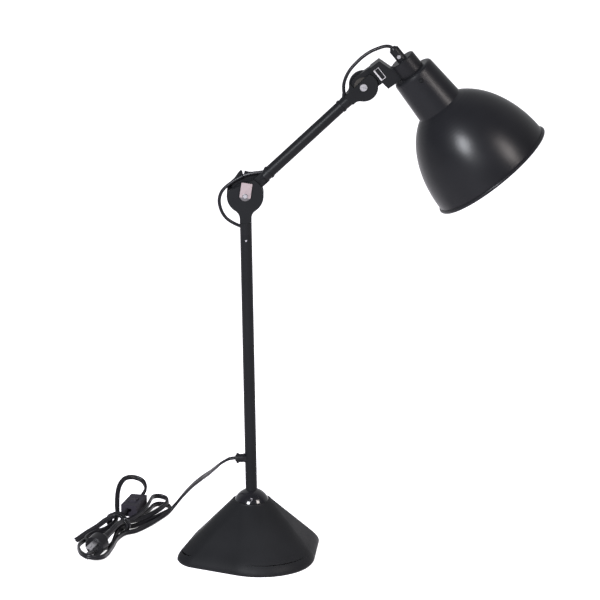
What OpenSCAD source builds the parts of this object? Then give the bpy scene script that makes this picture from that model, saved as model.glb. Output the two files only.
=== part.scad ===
// Swing arm desk lamp: cast base, ball joint, upright stem, elbow, upper arm, tilting bell shade.
// Z up, millimetres. Origin: centre of the foot, on the ball joint's turning axis. The shade points to +X.

/* [Stance] */
// Ball centre to elbow pivot
stem_length = 350; // [200:5:500]
// Lean of the stem away from the shade, degrees
stem_lean = 1; // [-10:0.5:10]
// Elbow pivot to head pivot
arm_length = 173; // [100:1:300]
// Arm above the horizontal, degrees
arm_angle = 43.5; // [20:0.5:60]
// Shade axis below the horizontal, degrees
shade_drop = 51.5; // [30:0.5:70]

/* [Base] */
// Height of the flat top of the base
base_height = 63; // [50:1:90]
// Size of the foot against the lamp shown
base_size = 1; // [0.8:0.05:1.4]
// Height of the upright skirt
skirt_height = 7; // [4:0.5:15]
// Wall of the casting
base_wall = 4; // [3:0.5:5]
// Ball diameter
ball_diameter = 40; // [30:1:50]
// Ball centre below the flat top
ball_sink = 8; // [6:0.5:14]

/* [Arms] */
// Outside diameter of stem and arm tubes
tube_diameter = 12.6; // [10:0.1:16]
// Tube wall
tube_wall = 1.2; // [0.8:0.1:2]
// Elbow cheek diameter
elbow_disc = 39.4; // [30:0.2:50]
// Head cheek diameter
head_disc = 31; // [24:0.2:40]
// Thickness of each cheek
cheek = 3; // [2:0.1:5]

/* [Shade and lampholder] */
// Rim diameter over the rolled bead
rim_diameter = 141; // [110:1:180]
// Rim to the tip of the bowl's ellipse
bowl_depth = 98; // [80:1:130]
// Neck diameter where it meets the bowl
neck_bottom = 53; // [44:0.5:60]
// Neck diameter at its shoulder
neck_top = 47.5; // [42:0.5:56]
// Rim to the top of the neck
neck_height = 138; // [120:1:160]
// Sheet thickness
shade_sheet = 1; // [0.8:0.1:2]
// Lampholder cap diameter
cap_diameter = 28.4; // [24:0.2:34]
// Head pivot to the shade axis
holder_offset = 49.6; // [40:0.2:60]
// Head pivot to the rim plane, along the shade axis
pivot_to_rim = 157.3; // [140:0.1:180]

/* [Leads] */
// Width of the flat mains cord
cord_width = 5.2; // [4:0.1:8]
// Thickness of the flat mains cord
cord_thickness = 3.2; // [2:0.1:6]
// Diameter of the lead along the arms
lead_diameter = 3.6; // [2:0.1:4]
// Cord gland above the ball centre
gland_height = 54.5; // [40:0.5:80]

/* [Hidden] */

fit = 0.05;              // running clearance on a radius
ball_radius = ball_diameter / 2;
ball_height = base_height - ball_sink;
tube_radius = tube_diameter / 2;
tube_bore = tube_radius - tube_wall;
bowl_thickness = 2;      // of the liner and of the thrust bowl around it
bowl_rim = 12;           // ball centre down to the rims of both
seat_radius = ball_radius + 2 * bowl_thickness + 2;
seat_ceiling = 0.5;      // underside of the seat's lip, above the ball centre
neck_depth = 44;         // elbow pivot to the end of the stem tube
elbow_gap = 4.6;         // elbow pivot plane to a cheek's inner face
head_gap = 4.1;
tongue = 4;              // half thickness of the arm's tongue
knuckle_tongue = 3.5;
disc_radius = elbow_disc / 2;
head_radius = head_disc / 2;
screw_radius = 2.4;
arm_socket = 34;         // elbow pivot to the start of the arm tube
arm_stop = 31;           // head pivot back to the end of the arm tube
cap_radius = cap_diameter / 2;
pad_thickness = 1;
plate_thickness = 1.6;
cavity_height = 12;      // underside of the solid part of the casting
foot_corners = [         // centre and radius of each rounded corner of the foot
  [-52, -23, 28.5], [9.5, -21, 58.5], [65, 35.5, 8], [-9.5, 21, 58.5]
];
screw_inset = 17;        // outline of the foot to the screws of its plate
top_radius = 21.5;       // flat top of the casting
outline_step = 3;        // degrees between the facets of the casting's outline
shoulder_share = 0.14;   // part of the slope taken by the round above the skirt
washer_thickness = 0.9;
strip_thickness = 1;
seat_depth = 28;         // ball centre to the underside of the seat
gland_reach = 15.5;      // stem axis to the gland's outer face
hank_turn = 66.6;        // direction of the hank on the table, degrees
hank_height = 14;
hank_half = 50;          // tie to the centre of each round end
hank_radius = 20;
tie_place = -22;         // middle of the hank to its tie
tie_width = 6;
tie_thickness = 1.5;
switch_turn = 8;         // switch against the hank, degrees
switch_length = 39;
switch_width = 18;
switch_cavity = [30, 14]; // length and width of the room inside
plug_radius = 11;
stem_route = [           // from the ball centre: gland to the slot below the elbow
  [-12.4, 0, 54.5], [-9.5, 0, 54.5], [-6, 0, 54.7], [-2.6, 0, 56.6], [-0.6, 0, 60.5], [0, 0, 66], [0, 0, 114.5],
  [0, 0, 255], [0, 0, 297], [-1, 0, 306], [-4, 0, 314]
];
elbow_slot = [           // outline in X and Z, from the elbow pivot
  [2.5, -50], [-3.1, -50], [-4.6, -41], [-6.6, -38.3], [-9.6, -36.6], [-16.2, -33], [-23, -27], [-19, -24.6],
  [-10.4, -30.7], [-3, -32.8], [1.8, -42]
];
elbow_route = [          // from the elbow pivot, Z along the stem
  [-5.9, 0, -35.2], [-9.5, 0, -33.6], [-15.8, 0, -30], [-24, 0, -21.7], [-27.8, 0, -11.6], [-27.4, 0, -2.2],
  [-23.6, -0.2, 5.2], [-17.4, -0.4, 11], [-10, -0.5, 16], [-2, -0.5, 20.7]
];
arm_route = [            // from the elbow pivot, X along the arm
  [13, -0.5, 16.2], [18, -0.5, 13.6], [23, -0.5, 10.6], [29, -0.5, 6.1], [34, -0.5, 2.6], [42, -0.4, 0.3], [54, 0, 0],
  [103, 0, 0], [131, 0, 0], [139, 0, 0.4], [145, 0, 2.6], [149, 0, 5.4], [152, 0, 8.2]
];
head_route = [           // from the head pivot, level
  [-20.7, 0, -7.9], [-21.4, 0, -2.5], [-20, 0, 7.4], [-15.4, 0, 16.9], [-7.5, 0, 26.6], [0.5, 0, 34],
  [8.5, 0, 39.8], [16.5, 0, 43.6], [22.8, 0, 44.8], [27.2, 0, 43.8], [30.3, 0, 41.5]
];
plug_turn = 244;         // direction of the plug's blades on the table, degrees
plug_dip = 8;            // blades below level
plug_roll = -22;
mains_route = [          // from the gland down to the hank
  [-17.9, 0, 109.2], [-24, 0.6, 108.2], [-31, 8, 102], [-38, 25, 91], [-46, 47, 77], [-55, 70, 63],
  [-67, 94, 45], [-78, 114, 26], [-84, 124, 17], [-91, 131, 10]
];
cap_top = 155;           // rim plane to the top of the lampholder cap
grip_top = 169;          // rim plane to the top of the cord grip
rim_radius = rim_diameter / 2;
bead_radius = 2;
smooth = 96;             // sides of a large round outline
small = 32;              // sides of a small round outline

// ---------- frames ----------
// Children stand at the ball centre with Z along the stem
module at_ball() {
  translate([0, 0, ball_height])
    rotate([0, -stem_lean, 0])
      children();
}

// Children stand at the elbow pivot with Z along the stem
module at_stem_top() {
  at_ball()
    translate([0, 0, stem_length])
      children();
}

// Children stand at the elbow pivot with X along the arm
module at_arm() {
  at_stem_top()
    rotate([0, stem_lean - arm_angle, 0])
      children();
}

// Children stand at the head pivot with X along the arm
module at_arm_end() {
  at_arm()
    translate([arm_length, 0, 0])
      children();
}

// Children stand at the head pivot with Z along the shade axis, pointing to the cap
module at_knuckle() {
  at_arm_end()
    rotate([0, arm_angle + shade_drop - 90, 0])
      children();
}

// Children stand at the centre of the rim with Z along the shade axis, pointing to the cap
module at_shade() {
  at_knuckle()
    translate([holder_offset, 0, -pivot_to_rim])
      children();
}

// A flat outline drawn in X and Z, given a thickness from y0 to y1
module upright(y0, y1) {
  translate([0, y1, 0])
    rotate([90, 0, 0])
      linear_extrude(y1 - y0)
        children();
}

// A cylinder along Y
module pin(radius, y0, y1, sides = 48) {
  translate([0, y1, 0])
    rotate([90, 0, 0])
      cylinder(r = radius, h = y1 - y0, $fn = sides);
}

// ---------- leads ----------
// A point between b and c on the smooth curve through a, b, c and d
function between(a, b, c, d, t) =
  0.5 * (2 * b + (c - a) * t + (2 * a - 5 * b + 4 * c - d) * t * t + (3 * b - a - 3 * c + d) * t * t * t);

// The route with extra points on the smooth curve through it
function eased(route, steps) = [
  for (i = [0:len(route) - 2])
    for (k = [0:(i == len(route) - 2 ? steps : steps - 1)])
      between(route[max(i - 1, 0)], route[i], route[i + 1], route[min(i + 2, len(route) - 1)], k / steps)
];

function unit(v) = v / norm(v);

// One ring of the lead: an ellipse square to the route, wide across and high along its other axis
function ring(path, i, wide, high, across, sides) =
  let (last = len(path) - 1)
  let (forward = unit(path[min(i + 1, last)] - path[max(i - 1, 0)]))
  let (side = unit(cross(forward, across)))
  let (other = cross(side, forward))
  [for (k = [0:sides - 1]) path[i] + side * wide / 2 * cos(360 * k / sides) + other * high / 2 * sin(360 * k / sides)];

// A lead swept along its route; "across" is a direction that the route never takes
module lead(route, wide, high, across, steps = 3, sides = 8) {
  path = eased(route, steps);
  rings = len(path);
  points = [for (i = [0:rings - 1]) each ring(path, i, wide, high, across, sides)];
  walls = [
    for (i = [0:rings - 2])
      for (k = [0:sides - 1])
        [i * sides + k, i * sides + (k + 1) % sides, (i + 1) * sides + (k + 1) % sides, (i + 1) * sides + k]
  ];
  start = [for (k = [sides - 1:-1:0]) k];
  end = [for (k = [0:sides - 1]) (rings - 1) * sides + k];
  polyhedron(points, concat([start, end], walls), convexity = 8);
}

// ---------- base ----------
// Outline of the foot, grown outward
module foot_outline(grow) {
  hull()
    for (corner = foot_corners)
      translate([corner.x, corner.y] * base_size)
        circle(r = corner.z * base_size + grow, $fn = 48);
}

module slab(grow, z0, z1) {
  translate([0, 0, z0])
    linear_extrude(z1 - z0)
      foot_outline(grow);
}

// Children repeated near each corner of the foot
module at_corners() {
  for (corner = foot_corners)
    rotate(atan2(corner.y, corner.x))
      translate([(norm([corner.x, corner.y]) + corner.z) * base_size - screw_inset, 0, 0])
        children();
}

// The point of the foot's outline that lies farthest along a direction
function farthest(direction, grow) =
  let (reach = [for (c = foot_corners) ([c.x, c.y] * direction + c.z) * base_size])
  let (corner = foot_corners[search(max(reach), reach)[0]])
  [corner.x, corner.y] * base_size + direction * (corner.z * base_size + grow);

// Ring of the casting: share 0 is the foot's outline and share 1 the flat top
function casting_ring(share, grow, z) = [
  for (a = [0:outline_step:360 - outline_step])
    let (direction = [cos(a), sin(a)])
    let (point = farthest(direction, grow) * (1 - share) + direction * (top_radius + grow) * share)
    [point.x, point.y, z]
];

// Share and height up the side of the casting, with the skirt's shoulder rounded
function shoulder_point(t) =
  let (start = [0, pad_thickness + 1.5])
  let (corner = [0, skirt_height])
  let (finish = [shoulder_share, skirt_height + (base_height - skirt_height) * shoulder_share])
  start * pow(1 - t, 2) + corner * 2 * t * (1 - t) + finish * t * t;

// A solid through rings of points that all have the same count
module loft(rings) {
  count = len(rings[0]);
  last = len(rings) - 1;
  walls = [
    for (i = [0:last - 1])
      for (k = [0:count - 1])
        [i * count + k, (i + 1) * count + k, (i + 1) * count + (k + 1) % count, i * count + (k + 1) % count]
  ];
  bottom = [for (k = [0:count - 1]) k];
  top = [for (k = [count - 1:-1:0]) last * count + k];
  polyhedron([for (r = rings) each r], concat([bottom, top], walls), convexity = 4);
}

module base_casting() {
  edge = 1.2;
  sides = concat(
    [casting_ring(0, -1, pad_thickness)],
    [for (t = [0:0.125:1]) let (p = shoulder_point(t)) casting_ring(p[0], 0, p[1])],
    [casting_ring(1, 0, base_height - edge), casting_ring(1, -0.35 * edge, base_height - 0.35 * edge)],
    [casting_ring(1, -edge, base_height)]
  );
  color([0.05, 0.05, 0.055])
    difference() {
      loft(sides);
      slab(-1 - base_wall, 0, cavity_height);
      translate([0, 0, cavity_height - 1])
        cylinder(r = seat_radius + fit, h = ball_height + seat_ceiling - cavity_height + 1, $fn = smooth);
      translate([0, 0, ball_height])
        sphere(r = ball_radius + 0.1, $fn = smooth);
      translate([0, 0, base_height - 1])
        cylinder(r1 = ball_radius - 1.6, r2 = ball_radius - 0.6, h = 1.5, $fn = smooth);
    }
  color([0.05, 0.05, 0.055])
    at_corners()
      difference() {
        translate([0, 0, pad_thickness + plate_thickness])
          cylinder(r = 4, h = cavity_height - plate_thickness, $fn = small);
        cylinder(r = 1.5 + fit, h = cavity_height, $fn = small);
      }
}

module base_bottom_plate() {
  color([0.25, 0.25, 0.26])
    difference() {
      slab(-1.3 - base_wall, pad_thickness, pad_thickness + plate_thickness);
      at_corners()
        cylinder(r = 1.5 + fit, h = 10, $fn = small);
    }
}

module base_pad() {
  color([0.12, 0.12, 0.12])
    difference() {
      slab(-2, 0, pad_thickness);
      at_corners()
        translate([0, 0, -1])
          cylinder(r = 3.5, h = 10, $fn = small);
    }
}

module base_plate_screws() {
  color([0.7, 0.7, 0.72])
    at_corners() {
      translate([0, 0, pad_thickness - 0.8])
        cylinder(r = 3, h = 0.8, $fn = small);
      translate([0, 0, pad_thickness - 0.1])
        cylinder(r = 1.5, h = 9, $fn = small);
    }
}

// ---------- ball joint ----------
// Hollow bowl around the ball centre, open above its rim
module bowl(inner, outer) {
  difference() {
    sphere(r = outer, $fn = smooth);
    sphere(r = inner, $fn = smooth);
    translate([-50, -50, -bowl_rim])
      cube(100);
  }
}

// Fixed block in the casting, pressed up by the springs
module ball_seat() {
  color([0.55, 0.5, 0.4])
    translate([0, 0, ball_height])
      difference() {
        translate([0, 0, -seat_depth])
          cylinder(r = seat_radius, h = seat_depth, $fn = smooth);
        sphere(r = ball_radius + 2 * bowl_thickness + fit, $fn = smooth);
      }
}

// Leans in the seat about the X axis
module thrust_bowl() {
  color([0.7, 0.6, 0.35])
    translate([0, 0, ball_height])
      bowl(ball_radius + bowl_thickness + fit, ball_radius + 2 * bowl_thickness);
}

// Friction liner that leans in the bowl about the Y axis
module ball_liner() {
  color([0.75, 0.7, 0.6])
    translate([0, 0, ball_height])
      bowl(ball_radius + fit, ball_radius + bowl_thickness);
}

// Three conical spring washers under the seat
module seat_springs() {
  pitch = 3;
  color([0.7, 0.7, 0.72])
    for (k = [0:2])
      translate([0, 0, ball_height - seat_depth - 3 * pitch + k * pitch])
        rotate_extrude($fn = smooth)
          polygon([[9, 0], [21, 1.9], [21, 2.95], [9, 1.05]]);
}

module spring_plug() {
  top = ball_height - seat_depth - 9;
  color([0.7, 0.6, 0.3])
    difference() {
      translate([0, 0, top - 5])
        cylinder(r = seat_radius, h = 5, $fn = smooth);
      translate([0, 0, top - 6])
        cylinder(r = 8, h = 3, $fn = 6);
    }
}

module stem_ball() {
  color([0.03, 0.03, 0.035])
    at_ball()
      difference() {
        sphere(r = ball_radius, $fn = smooth);
        translate([0, 0, 5])
          cylinder(r = tube_radius + fit, h = 20, $fn = smooth);
        translate([0, 0, 12])
          pin(1.5 + fit, -30, 30, small);
      }
}

// ---------- stem ----------
module stem_tube() {
  start = 5;
  color([0.04, 0.04, 0.045])
    at_ball()
      difference() {
        translate([0, 0, start])
          cylinder(r = tube_radius, h = stem_length - neck_depth - start, $fn = smooth);
        translate([0, 0, start - 1])
          cylinder(r = tube_bore, h = stem_length, $fn = smooth);
        translate([0, 0, gland_height])
          rotate([0, -90, 0])
            cylinder(r = 3 + fit, h = 20, $fn = small);
        translate([0, 0, 12])
          pin(1.5 + fit, -30, 30, small);
        translate([0, 0, stem_length - neck_depth - 6])
          pin(1 + fit, -30, 30, small);
      }
}

// Cross pin through the ball, and two short ones that hold the fork's spigot
module tube_cross_pins() {
  color([0.6, 0.6, 0.6])
    at_ball() {
      translate([0, 0, 12])
        pin(1.5, -13, 13, small);
      translate([0, 0, stem_length - neck_depth - 6])
        for (side = [0, 180])
          rotate(side)
            pin(1, lead_diameter, tube_radius, small);
    }
}

// Flanged cord gland through the tube's side
module gland_body() {
  color([0.04, 0.04, 0.04])
    at_ball()
      translate([0, 0, gland_height])
        rotate([0, -90, 0])
          difference() {
            union() {
              translate([0, 0, tube_bore])
                cylinder(r = 3, h = 5, $fn = small);
              translate([0, 0, tube_radius + 2])
                cylinder(r = 4.6, h = gland_reach - tube_radius - 3, $fn = 48);
              translate([0, 0, gland_reach - 2.6])
                cylinder(r = 5.6, h = 2.6, $fn = 48);
            }
            cylinder(r = lead_diameter / 2 + 0.6, h = 30, $fn = small);
            translate([0, 0, gland_reach - 5])
              cylinder(r = 3.6 + fit, h = 6, $fn = small);
          }
}

module gland_nut() {
  color([0.06, 0.06, 0.06])
    at_ball()
      translate([0, 0, gland_height])
        rotate([0, -90, 0])
          difference() {
            cylinder(r = 5.2, h = tube_radius + 1.9, $fn = 6);
            cylinder(r = 3 + fit, h = 30, $fn = small);
            rotate([0, 90, 0])
              translate([0, 0, -20])
                cylinder(r = tube_radius + fit, h = 40, $fn = smooth);
          }
}

// Rubber sleeve that grips the mains cord in the gland
module gland_grommet() {
  color([0.1, 0.1, 0.1])
    at_ball()
      translate([0, 0, gland_height])
        rotate([0, -90, 0])
          difference() {
            union() {
              translate([0, 0, gland_reach - 4.9])
                cylinder(r = 3.6, h = 4.9, $fn = small);
              translate([0, 0, gland_reach])
                cylinder(r1 = 4, r2 = 3.4, h = 1.2, $fn = small);
            }
            translate([0, 0, gland_reach - 8])
              cylinder(r = lead_diameter / 2 + 0.1, h = 6, $fn = small);
          }
}

// Lead inside the stem, from the gland to its exit below the elbow
module stem_lead() {
  color([0.02, 0.02, 0.02])
    at_ball()
      lead(stem_route, lead_diameter, lead_diameter, [0, 1, 0]);
}

// ---------- elbow ----------
// Shield outline: a disc that flows into the tube below it
module shield(radius, length, flare) {
  offset(r = -flare)
    offset(delta = flare)
      union() {
        circle(r = radius, $fn = 72);
        translate([-tube_radius, -length])
          square([2 * tube_radius, length]);
      }
}

// Bell that thins a shield from its full depth down to the tube; z is up, the tube below
module bell(wide, start, end) {
  rotate_extrude($fn = smooth)
    polygon([[0, start], [tube_radius, start], [tube_radius + 0.6, start + (end - start) * 0.5], [wide, end], [wide, 60], [0, 60]]);
}

module elbow_fork() {
  outside = elbow_gap + cheek;
  slot_floor = disc_radius + 2;
  color([0.04, 0.04, 0.045])
    at_stem_top()
      difference() {
        union() {
          intersection() {
            upright(-outside, outside)
              shield(disc_radius, neck_depth, 10);
            bell(disc_radius * 1.6, -neck_depth, -slot_floor + 4);
          }
          translate([0, 0, -neck_depth - 14])
            cylinder(r = tube_bore - fit, h = 15, $fn = smooth);
        }
        upright(-elbow_gap, elbow_gap)
          translate([-40, -slot_floor])
            square([80, 80]);
        upright(-20, -elbow_gap + 1)
          translate([-10, 9])
            rotate(23)
              translate([-40, 0])
                square([80, 40]);
        pin(screw_radius + fit, -20, 20);
        translate([0, 0, -neck_depth - 16])
          cylinder(r = lead_diameter / 2 + 0.6, h = 12, $fn = small);
        upright(-lead_diameter / 2 - 0.6, lead_diameter / 2 + 0.6)
          polygon(elbow_slot);
        translate([0, 0, -neck_depth - 6])
          pin(1 + fit, -30, 30, small);
      }
}

// Turned washer between the near cheek and the strip, chamfered at its outer edge
module elbow_washer() {
  start = elbow_gap + cheek;
  chamfer = 0.6;
  color([0.3, 0.3, 0.31])
    at_stem_top()
      rotate([90, 0, 0])
        translate([0, 0, start])
          difference() {
            union() {
              cylinder(r = 5.9, h = washer_thickness - chamfer, $fn = smooth);
              translate([0, 0, washer_thickness - chamfer])
                cylinder(r1 = 5.9, r2 = 5.9 - chamfer, h = chamfer, $fn = smooth);
            }
            translate([0, 0, -1])
              cylinder(r = screw_radius + fit, h = 4, $fn = 48);
          }
}

// Steel strip on the near cheek that stops the screw from turning
module elbow_lock_plate() {
  wide = 11.8;
  start = elbow_gap + cheek + washer_thickness;
  color([0.8, 0.8, 0.82])
    at_stem_top()
      difference() {
        upright(-start - strip_thickness, -start)
          rotate(-9)
            translate([-wide / 2, -1.6])
              square([wide, 16.2]);
        pin(2.9, -20, 20);
      }
}

module elbow_screw() {
  near = elbow_gap + cheek + washer_thickness;
  color([0.7, 0.7, 0.72])
    at_stem_top()
      difference() {
        union() {
          pin(screw_radius, -near, near + 4);
          pin(2.1, -near - strip_thickness - 0.3, -near);
        }
        translate([0, -near - strip_thickness - 0.3, 0])
          rotate([0, 40, 0])
            cube([0.8, 0.9, 8], center = true);
      }
}

module elbow_nut() {
  start = elbow_gap + cheek;
  color([0.7, 0.7, 0.72])
    at_stem_top()
      difference() {
        union() {
          pin(5.5, start, start + 1);
          pin(4.6, start + 1, start + 5, 6);
        }
        pin(screw_radius + fit, start - 1, start + 10);
      }
}

module friction_disc(radius, y0, y1) {
  difference() {
    pin(radius, y0, y1);
    pin(screw_radius + 0.1, y0 - 1, y1 + 1);
  }
}

// Fibre discs glued to both sides of the tongue
module elbow_friction_discs() {
  color([0.45, 0.35, 0.25])
    at_arm() {
      friction_disc(12, tongue, elbow_gap - fit);
      friction_disc(12, fit - elbow_gap, -tongue);
    }
}

// Tongue of the arm, with the notched guide plate that leads the wire in over the top
module arm_elbow_head() {
  guide = [
    [-1, 19.5], [11.6, 22], [14.4, 22], [14.9, 20.4], [12.3, 15.8], [16.9, 18.5], [19.3, 14.6],
    [23.5, 10.5], [30, tube_radius], [30, 0], [0, 0], [-10, 10]
  ];
  color([0.04, 0.04, 0.045])
    at_arm()
      difference() {
        union() {
          upright(-tongue, tongue)
            offset(r = -8)
              offset(delta = 8)
                union() {
                  circle(r = 14, $fn = 64);
                  translate([0, -tube_radius])
                    square([arm_socket - 4, 2 * tube_radius]);
                }
          upright(1.6, tongue)
            polygon(guide);
          translate([25, 0, 0])
            rotate([0, 90, 0])
              cylinder(r1 = 5, r2 = tube_radius, h = 4, $fn = smooth);
          translate([29, 0, 0])
            rotate([0, 90, 0])
              cylinder(r = tube_radius, h = arm_socket - 29, $fn = smooth);
          translate([arm_socket - 1, 0, 0])
            rotate([0, 90, 0])
              cylinder(r = tube_bore - fit, h = 13, $fn = smooth);
        }
        friction_bore();
        arm_lead_channel();
        arm_rivet_place()
          pin(2.2 + fit, -20, -tongue + 0.6, small);
      }
}

// Hole for the elbow screw
module friction_bore() {
  pin(screw_radius + 0.08, -20, 20);
}

// Channel from the top of the tongue to the bore of the arm tube
module arm_lead_channel() {
  translate([11, -0.5, 17])
    rotate([0, 117, 0])
      cylinder(r = lead_diameter / 2 + 0.6, h = 14, $fn = small);
  translate([22.6, -0.5, 11])
    rotate([0, 126, 0])
      cylinder(r = lead_diameter / 2 + 0.6, h = 15, $fn = small);
  translate([31, -0.5, 2])
    rotate([0, 98, 0])
      cylinder(r = lead_diameter / 2 + 0.8, h = 20, $fn = small);
}

module arm_rivet_place() {
  translate([25.5, 0, -1.5])
    children();
}

module arm_rivet() {
  color([0.1, 0.1, 0.1])
    at_arm()
      arm_rivet_place()
        difference() {
          pin(2.2, -tube_radius - 0.6, -tongue + 0.5, small);
          pin(0.6, -tube_radius - 1, -tube_radius - 0.2, small);
        }
}

// Thin rings where the arm tube meets its two castings
module arm_ferrules() {
  color([0.04, 0.04, 0.045])
    at_arm()
      for (x = [arm_socket, arm_length - arm_stop - 2.5])
        translate([x, 0, 0])
          rotate([0, 90, 0])
            difference() {
              cylinder(r = tube_radius + 0.8, h = 2.5, $fn = smooth);
              translate([0, 0, -1])
                cylinder(r = tube_radius + fit, h = 5, $fn = smooth);
            }
}

module arm_tube() {
  color([0.04, 0.04, 0.045])
    at_arm()
      translate([arm_socket, 0, 0])
        rotate([0, 90, 0])
          difference() {
            cylinder(r = tube_radius, h = arm_length - arm_socket - arm_stop, $fn = smooth);
            translate([0, 0, -1])
              cylinder(r = tube_bore, h = 200, $fn = smooth);
          }
}

// Lead inside the arm, from the guide over the elbow to the exit before the head
module arm_lead() {
  color([0.02, 0.02, 0.02])
    at_arm()
      lead(arm_route, lead_diameter, lead_diameter, [0, 1, 0]);
}

// Loop of lead from the stem to the arm, past the elbow
module elbow_lead() {
  color([0.02, 0.02, 0.02])
    at_stem_top()
      lead(elbow_route, lead_diameter, lead_diameter, [0, 1, 0]);
}

// ---------- head joint ----------
module head_fork() {
  outside = head_gap + cheek;
  slot_floor = head_radius + 2;
  color([0.04, 0.04, 0.045])
    at_arm_end()
      difference() {
        union() {
          rotate([0, 90, 0])
            intersection() {
              upright(-outside, outside)
                shield(head_radius, arm_stop, 8);
              bell(head_radius * 1.6, -arm_stop, -slot_floor + 4);
            }
          translate([-arm_stop - 13, 0, 0])
            rotate([0, 90, 0])
              cylinder(r = tube_bore - fit, h = 14, $fn = smooth);
        }
        upright(-head_gap, head_gap)
          translate([-slot_floor, -40])
            square([80, 80]);
        upright(-20, -head_gap + 1)
          translate([-8, 6])
            square([40, 30]);
        pin(screw_radius + fit, -20, 20);
        translate([-arm_stop - 14, 0, 0])
          rotate([0, 90, 0])
            cylinder(r = lead_diameter / 2 + 0.6, h = 15, $fn = small);
        translate([-33, 0, -0.4])
          rotate([0, 58, 0])
            cylinder(r = lead_diameter / 2 + 0.7, h = 8, $fn = small);
        translate([-28.5, 0, 2.2])
          rotate([0, 48, 0])
            cylinder(r = lead_diameter / 2 + 0.7, h = 14, $fn = small);
      }
}

module head_screw() {
  near = head_gap + cheek;
  color([0.75, 0.75, 0.77])
    at_arm_end()
      difference() {
        union() {
          pin(screw_radius, -near - 0.5, near + 5);
          pin(3.9, -near - 1.6, -near);
        }
        translate([0, -near - 1.6, 0])
          rotate([0, -38, 0])
            cube([1, 1.6, 10], center = true);
      }
}

module head_nut() {
  start = head_gap + cheek;
  color([0.7, 0.7, 0.72])
    at_arm_end()
      difference() {
        union() {
          pin(5, start, start + 0.8);
          pin(4.4, start + 0.8, start + 4.6, 6);
        }
        pin(screw_radius + fit, start - 1, start + 10);
      }
}

// Fibre discs glued to both sides of the knuckle
module head_friction_discs() {
  color([0.45, 0.35, 0.25])
    at_knuckle() {
      friction_disc(10, knuckle_tongue, head_gap - fit);
      friction_disc(10, fit - head_gap, -knuckle_tongue);
    }
}

// Loop of lead from the arm to the cord grip, over the head joint
module head_lead() {
  color([0.02, 0.02, 0.02])
    at_arm_end()
      rotate([0, arm_angle, 0])
        lead(head_route, lead_diameter, lead_diameter, [0, 1, 0]);
}

// Tongue in the arm's fork and the block that holds the lampholder
module head_knuckle() {
  block_half = 7;
  color([0.04, 0.04, 0.045])
    at_knuckle()
      difference() {
        union() {
          upright(-knuckle_tongue, knuckle_tongue)
            union() {
              circle(r = 13, $fn = 64);
              polygon([[0, 13], [20, 12.3], [20, -9.6], [14, -9.4], [9, -9.4], [0, -13]]);
            }
          upright(-block_half, block_half)
            polygon([[18.5, 12.3], [30.5, 12.3], [35, -3], [39, -3], [39, -18.6], [19.5, -17.5], [18.5, -9]]);
        }
        translate([holder_offset, 0, -40])
          cylinder(r = cap_radius + fit, h = 80, $fn = smooth);
        pin(screw_radius + 0.08, -20, 20);
        knuckle_screw_places()
          cylinder(r = 1.5 + fit, h = 20, $fn = small);
        knuckle_screw_places()
          translate([0, 0, -6])
            cylinder(r = 3 + fit, h = 8, $fn = small);
      }
}

// Two places along the block, looking toward the cap
module knuckle_screw_places() {
  for (z = [-7, -14])
    translate([24, 0, z])
      rotate([0, 90, 0])
        children();
}

module knuckle_screws() {
  color([0.6, 0.6, 0.62])
    at_knuckle()
      knuckle_screw_places() {
        cylinder(r = 1.5, h = 14, $fn = small);
        translate([0, 0, -1])
          cylinder(r = 3, h = 3, $fn = small);
      }
}

// Steel frame on the near side of the block: one broad bar and a narrow border
module head_lock_plate() {
  color([0.8, 0.8, 0.82])
    at_knuckle()
      translate([19.2, -7.8, -6])
        difference() {
          cube([6.5, 0.8, 13.6]);
          translate([1.5, -1, 0.5])
            cube([4.5, 3, 12.8]);
        }
}

// ---------- lampholder ----------
module holder_cap() {
  wall = 2;
  color([0.03, 0.03, 0.035])
    difference() {
      at_shade()
        difference() {
          rotate_extrude($fn = smooth)
            polygon([[0, neck_height], [cap_radius, neck_height], [cap_radius, cap_top - 1], [cap_radius - 1, cap_top], [0, cap_top]]);
          translate([0, 0, neck_height - 1])
            cylinder(r = cap_radius - wall, h = cap_top - neck_height - wall + 1, $fn = smooth);
          translate([0, 0, neck_height])
            cylinder(r = 3 + fit, h = 30, $fn = small);
        }
      at_knuckle()
        knuckle_screw_places()
          cylinder(r = 1.5 + fit, h = 20, $fn = small);
    }
}

module cord_grip() {
  color([0.03, 0.03, 0.035])
    at_shade()
      difference() {
        union() {
          translate([0, 0, cap_top - 5])
            cylinder(r = 3, h = 6, $fn = small);
          translate([0, 0, cap_top])
            cylinder(r = 5.4, h = grip_top - cap_top, $fn = 48);
        }
        translate([0, 0, cap_top - 6])
          cylinder(r = lead_diameter / 2 + 0.3, h = 30, $fn = small);
        translate([0, 0, grip_top - 6])
          cylinder(r = 3 + fit, h = 7, $fn = small);
        translate([0, 0, cap_top + 5])
          pin(1.4 + fit, -8, 0, small);
      }
}

// Pale insulating bush that the lead passes through
module grip_bush() {
  color([0.9, 0.88, 0.82])
    at_shade()
      difference() {
        union() {
          translate([0, 0, grip_top - 6])
            cylinder(r = 3, h = 6, $fn = small);
          translate([0, 0, grip_top])
            cylinder(r1 = 4.2, r2 = 3.4, h = 2, $fn = 48);
        }
        translate([0, 0, grip_top - 7])
          cylinder(r = lead_diameter / 2 + 0.3, h = 12, $fn = small);
      }
}

// Side screw that holds the lead in the grip
module grip_screw() {
  color([0.7, 0.7, 0.72])
    at_shade()
      translate([0, 0, cap_top + 5])
        difference() {
          union() {
            pin(1.4, -7, -2.2, small);
            pin(2, -7, -5.6, small);
          }
          translate([0, -7, 0])
            cube([0.7, 1, 5], center = true);
        }
}

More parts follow.
